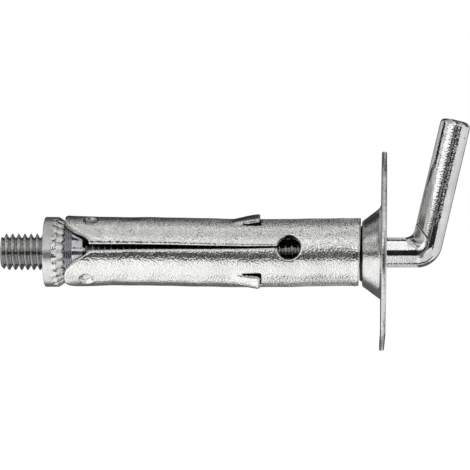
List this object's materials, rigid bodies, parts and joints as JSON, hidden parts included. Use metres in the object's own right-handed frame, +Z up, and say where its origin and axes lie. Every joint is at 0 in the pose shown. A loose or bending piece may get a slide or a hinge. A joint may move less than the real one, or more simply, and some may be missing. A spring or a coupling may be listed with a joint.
{
  "type": "hook anchor",
  "caption": "Expansion anchor with a bent hook bolt, slotted barbed sleeve, knurled cone nut and pressed wall washer, set in a drilled masonry hole to hang a load.",
  "frame": {"origin": "on the bolt's axis in the plane of the wall, which the back face of the washer touches", "axes": "+X along the axis out of the wall towards the hook, +Z up along the raised hook"},
  "size_m": [0.0755, 0.032, 0.0376],
  "materials": {
    "bright_zinc": "bright zinc plating on drawn steel wire",
    "pressed_zinc": "zinc plating on pressed steel sheet",
    "rolled_zinc": "dull zinc plating on rolled steel sheet",
    "turned_zinc": "bright zinc plating on turned steel"
  },
  "bodies": {
    "sleeve": {"expansion_sleeve": "rolled_zinc"},
    "hook": {"hook_bolt": "bright_zinc"},
    "nut": {"cone_nut": "turned_zinc"},
    "washer": {"flanged_washer": "pressed_zinc"}
  },
  "joints": [
    {"name": "hook_turn", "type": "hinge", "parent": "sleeve", "child": "hook", "pos_m": [0, 0, 0], "axis": [1, 0, 0], "range_deg": [0, 2340]},
    {"name": "nut_travel", "type": "slide", "parent": "sleeve", "child": "nut", "axis": [-1, 0, 0], "range_m": [0, 0.00651]},
    {"name": "washer_slide", "type": "slide", "parent": "sleeve", "child": "washer", "axis": [1, 0, 0], "range_m": [0, 0.0045]}
  ],
  "couplings": [
    {"joint": "nut_travel", "follows": "hook_turn", "m_per_rad": 0.00015915}
  ]
}
